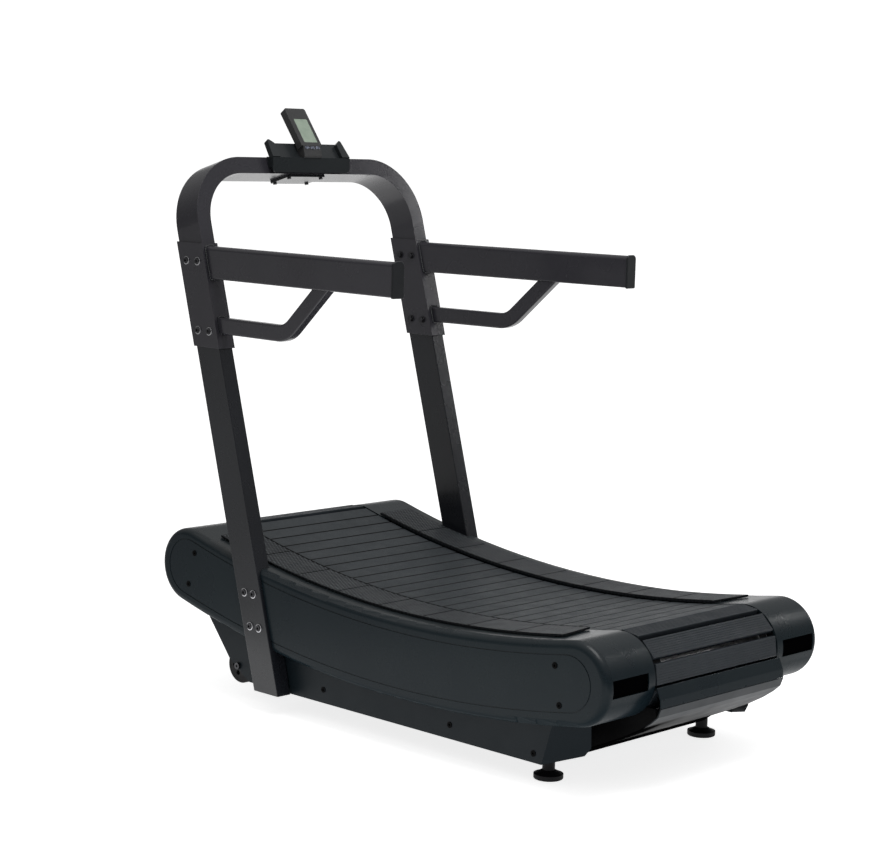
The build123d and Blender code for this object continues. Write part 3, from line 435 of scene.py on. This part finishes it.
def rounded_loop(half_x, half_z, top, low, step):
    """Points round a rectangle, evenly spaced, its upper and lower corners rounded."""
    outline, corner_steps = [], 6
    for cx, cz, start in ((1, 1, 0), (-1, 1, 90), (-1, -1, 180), (1, -1, 270)):
        corner = top if cz > 0 else low
        for k in range(corner_steps + 1):
            turn = math.radians(start + 90 // corner_steps * k)
            outline.append((cx * (half_x - corner) + corner * math.cos(turn),
                            cz * (half_z - corner) + corner * math.sin(turn)))
    points = []
    for i, (x, z) in enumerate(outline):
        x2, z2 = outline[(i + 1) % len(outline)]
        length = math.dist((x, z), (x2, z2))
        parts = max(1, round(length / step))
        for k in range(parts):
            points.append((x + (x2 - x) * k / parts, z + (z2 - z) * k / parts))
    return points


def upright_rear(z):
    """Where an upright's rear face is at height z."""
    return UPRIGHT_REAR_Y + (z - UPRIGHT_LOW_Z) * math.tan(UPRIGHT_SLOPE)


def make_weld_beads():
    """Rippled weld beads where the handrails and braces meet the sleeves."""
    sleeve_wall = 0.0052
    joints = [(side * UPRIGHT_X, *joint) for side in (-1, 1)
              for joint in ((1.2945, 0.0205, 0.0485, 0.013, 0.006),
                            (1.1135, 0.016, 0.025, 0.007, 0.007))]

    def build(bm):
        for x0, z0, half_x, half_z, top, low in joints:
            path = [Vector((x0 + x, upright_rear(z0 + z) - sleeve_wall - 0.0012, z0 + z))
                    for x, z in rounded_loop(half_x, half_z, top, low, 0.0016)]
            add_tube(bm, path, lambda i: 0.0034 + 0.0007 * math.sin(i * 1.6))

    make_piece("WeldBeads", POWDER, "machine", build)


def rail_top(y):
    """Height of the foot rails' top at y."""
    return ARC_CENTRE_Z - math.sqrt(RAIL_TOP_RADIUS ** 2 - (y - ARC_CENTRE_Y) ** 2)


def make_rail_studs():
    """Rows of small raised studs on the foot rails."""
    rows, row_step, columns, column_step = 118, 0.0113, 11, 0.0117

    def build(bm):
        for side in (-1, 1):
            for row in range(rows):
                y = 0.668 - row * row_step
                z = rail_top(y)
                slope = math.atan2(y - ARC_CENTRE_Y, ARC_CENTRE_Z - z)
                for column in range(columns):
                    x = side * (0.2745 + column_step * (column + 0.5 * (row % 2)))
                    if abs(x) <= RAIL_OUTER:
                        add_stud(bm, x, y, z, slope)

    make_piece("RailStuds", STUD, "machine", build)


def add_stud(bm, x, y, z, slope):
    """A flat-topped six-sided stud, tilted by slope about X."""
    along = Vector((0.0, math.cos(slope), math.sin(slope)))
    up = Vector((0.0, -math.sin(slope), math.cos(slope)))
    across = Vector((1.0, 0.0, 0.0))
    middle = Vector((x, y, z))
    turns = [k * math.pi / 3 for k in range(6)]
    low, top = ([bm.verts.new(middle + up * lift + size * (across * math.cos(turn)
                                                           + along * math.sin(turn)))
                 for turn in turns] for size, lift in ((0.0036, -0.0003), (0.0028, 0.0007)))
    for k in range(6):
        j = (k + 1) % 6
        bm.faces.new((low[k], low[j], top[j], top[k]))
    bm.faces.new(top)


def add_box(bm, corners):
    """A closed box from its four lower and four upper corners."""
    verts = [bm.verts.new(corner) for corner in corners]
    for face in ((3, 2, 1, 0), (4, 5, 6, 7), (0, 1, 5, 4), (1, 2, 6, 5), (2, 3, 7, 6),
                 (3, 0, 4, 7)):
        bm.faces.new([verts[k] for k in face])


def make_rail_edge_shade_and_joins():
    """Black strips along the inner edge of each foot rail, a painted shade for the gap beside the
    slats, and over the dark joins of its treads.
    """
    low, high, step, wide, half_join = -0.0006, 0.0008, 0.02, 0.006, 0.0013

    def strip(bm, x0, x1, y0, y1):
        corners = [(x0, y0, rail_top(y0)), (x1, y0, rail_top(y0)), (x1, y1, rail_top(y1)),
                   (x0, y1, rail_top(y1))]
        add_box(bm, [(x, y, z + low) for x, y, z in corners]
                + [(x, y, z + high) for x, y, z in corners])

    def build(bm):
        for side in (-1, 1):
            edge = sorted((side * RAIL_INNER, side * (RAIL_INNER + wide)))
            whole = sorted((side * RAIL_INNER, side * RAIL_OUTER))
            for k in range(66):
                y = -0.65 + k * step
                strip(bm, *edge, y, y + step)
            for k in range(1, RAIL_TREADS):
                y = RAIL_FRONT_Y - RAIL_LENGTH * k / RAIL_TREADS
                strip(bm, *whole, y - half_join, y + half_join)

    make_piece("RailEdgeShadeAndJoins", BLACK_AND_SHADE, "machine", build)


def make_bolt_rims():
    """A plated washer rim round each bolt head on the uprights."""
    sides = 24

    def build(bm):
        half_deep = 0.05 / math.cos(UPRIGHT_SLOPE)
        groups = (((1.297, 1.095), 0.025, 0.475), ((0.345, 0.249), 0.019, 0.470))
        for heights, offset, out in groups:
            for z in heights:
                for dy in (-offset, offset):
                    for side in (-1, 1):
                        rim(bm, side, out, upright_rear(z) + half_deep + dy, z)

    def rim(bm, side, out, y, z):
        rings = []
        for radius, lift in ((0.0123, 0.0), (0.0123, 0.0026), (0.0100, 0.0030), (0.0100, 0.0)):
            turns = [2 * math.pi * k / sides for k in range(sides)]
            rings.append([bm.verts.new((side * (out + lift), y + radius * math.cos(turn),
                                        z + radius * math.sin(turn))) for turn in turns])
        for one, two in zip(rings, rings[1:] + rings[:1]):
            for k in range(sides):
                j = (k + 1) % sides
                bm.faces.new((one[k], one[j], two[j], two[k]))

    make_piece("BoltRims", ZINC, "machine", build)


def make_tray_shade_webs():
    """A thin near-black web under each rear cover, up from the tray's edge to the cover: painted
    shade closing that gap.
    """
    def build(bm):
        outline = ((-0.640, 0.0665), (-0.665, 0.0853), (-0.73, 0.1153), (-0.795, 0.1473),
                   (-0.838, 0.1723), (-0.872, 0.1963), (-0.889, 0.213), (-0.885, 0.235),
                   (-0.80, 0.24), (-0.70, 0.21), (-0.645, 0.18))
        count = len(outline)
        for side in (-1, 1):
            rings = [[bm.verts.new((side * x, y, z)) for y, z in outline]
                     for x in (0.2664, 0.2678)]
            for k in range(count):
                j = (k + 1) % count
                bm.faces.new((rings[0][k], rings[0][j], rings[1][j], rings[1][k]))
            bm.faces.new(rings[0])
            bm.faces.new(rings[1])

    make_piece("TrayShadeWebs", BLACK_AND_SHADE, "machine", build)


make_weld_beads()
make_rail_studs()
make_rail_edge_shade_and_joins()
make_bolt_rims()
make_tray_shade_webs()


# ---- floor, light and camera -------------------------------------------------------
def make_floor():
    """A pale floor with a lit sheet under and beyond the machine."""
    size = 40.0
    mesh = bpy.data.meshes.new("Floor")
    mesh.from_pydata([(-size, -size, 0), (size, -size, 0), (size, size, 0), (-size, size, 0)],
                     [], [(0, 1, 2, 3)])
    floor = bpy.data.objects.new("Floor", mesh)
    bpy.context.scene.collection.objects.link(floor)
    m = Nodes("PaleFloor", specular=0.1)
    m.colour(m.ramp(m.noise(0.6, 3.0), (0.3, 0.8), (0.7, 0.84)))
    m.rough(m.ramp(m.noise(3.0, 3.0), (0.3, 0.75), (0.7, 0.85)))
    x, y, _ = m.split()
    across = m.math("ABSOLUTE", m.math("SUBTRACT", m.math("MULTIPLY", x, SHEET_Y),
                                       m.math("MULTIPLY", y, SHEET_X)))
    along = m.math("ADD", m.math("MULTIPLY", x, SHEET_X), m.math("MULTIPLY", y, SHEET_Y))
    edge = m.math("SUBTRACT", across, m.math("MULTIPLY", along, 0.21))
    sheet = m.ramp(m.math("DIVIDE", edge, 4.0), (0.355, 1.0), (0.45, 0.04))
    m.link(sheet, m.bsdf.inputs["Emission Color"])
    m.bsdf.inputs["Emission Strength"].default_value = 0.8
    mesh.materials.append(m.material)


def make_world():
    """A studio with a white backdrop beyond the machine, grey walls and a light ceiling."""
    world = bpy.data.worlds.new("Studio")
    bpy.context.scene.world = world
    world.use_nodes = True
    tree = world.node_tree
    place = tree.nodes.new("ShaderNodeTexCoord").outputs["Generated"]

    def facing(direction, *stops):
        """A grey that depends on how nearly a view ray points in a direction."""
        dot = tree.nodes.new("ShaderNodeVectorMath")
        dot.operation = "DOT_PRODUCT"
        dot.inputs[1].default_value = direction
        tree.links.new(place, dot.inputs[0])
        ramp = tree.nodes.new("ShaderNodeValToRGB")
        while len(ramp.color_ramp.elements) < len(stops):
            ramp.color_ramp.elements.new(0.5)
        for element, (position, grey) in zip(ramp.color_ramp.elements, stops):
            element.position = position
            element.color = (grey, grey, grey, 1.0)
        tree.links.new(dot.outputs["Value"], ramp.inputs["Fac"])
        return ramp.outputs["Color"]

    def blend(kind, one, two):
        mix = tree.nodes.new("ShaderNodeMix")
        mix.data_type, mix.blend_type = "RGBA", kind
        mix.inputs[0].default_value = 1.0
        tree.links.new(one, mix.inputs[6])
        tree.links.new(two, mix.inputs[7])
        return mix.outputs[2]

    up = (0.0, 0.0, 1.0)
    room = facing(up, (0.0, 0.12), (0.3, 0.2), (0.9, 0.6))
    backdrop = facing((SHEET_X, SHEET_Y, 0.0), (0.86, 0.0), (0.93, 1.0))
    low = facing(up, (0.12, 1.0), (0.3, 0.0))
    total = blend("LIGHTEN", blend("MULTIPLY", backdrop, low), room)
    tree.links.new(total, tree.nodes["Background"].inputs["Color"])
    tree.nodes["Background"].inputs["Strength"].default_value = 1.05


def area_light(name, place, target, width, height, power):
    """A rectangular lamp that faces a target."""
    data = bpy.data.lights.new(name, "AREA")
    data.shape = "RECTANGLE"
    data.size, data.size_y, data.energy = width, height, power
    lamp = bpy.data.objects.new(name, data)
    bpy.context.scene.collection.objects.link(lamp)
    lamp.location = place
    lamp.rotation_mode = "QUATERNION"
    lamp.rotation_quaternion = (Vector(target) - Vector(place)).to_track_quat("-Z", "Y")


def make_camera():
    """The camera stands behind and to the left of the machine, 1.66 m up."""
    yaw, pitch, roll = math.radians(-46.258), math.radians(-7.314), math.radians(1.602)
    ahead = Vector((-math.sin(yaw) * math.cos(pitch), math.cos(yaw) * math.cos(pitch),
                    math.sin(pitch)))
    right = Vector((math.cos(yaw), math.sin(yaw), 0.0))
    up = right.cross(ahead)
    right, up = (right * math.cos(roll) + up * math.sin(roll),
                 up * math.cos(roll) - right * math.sin(roll))
    data = bpy.data.cameras.new("Camera")
    data.sensor_width = 36.0
    data.lens = 89.971
    data.clip_end = 100.0
    camera = bpy.data.objects.new("Camera", data)
    bpy.context.scene.collection.objects.link(camera)
    turn = Matrix((right, up, -ahead)).transposed().to_4x4()
    camera.matrix_world = Matrix.Translation((-4.6536, -4.2963, 1.6634)) @ turn
    bpy.context.scene.camera = camera


make_floor()
make_world()
area_light("KeyTop", (-0.4, -1.2, 4.0), (0.0, 0.0, 0.5), 2.0, 2.6, 60.0)
area_light("RearStrip", (3.4, -1.7, 2.3), (0.0, 0.4, 1.2), 0.12, 1.6, 6.0)
make_camera()
bpy.context.scene.view_settings.view_transform = "Standard"
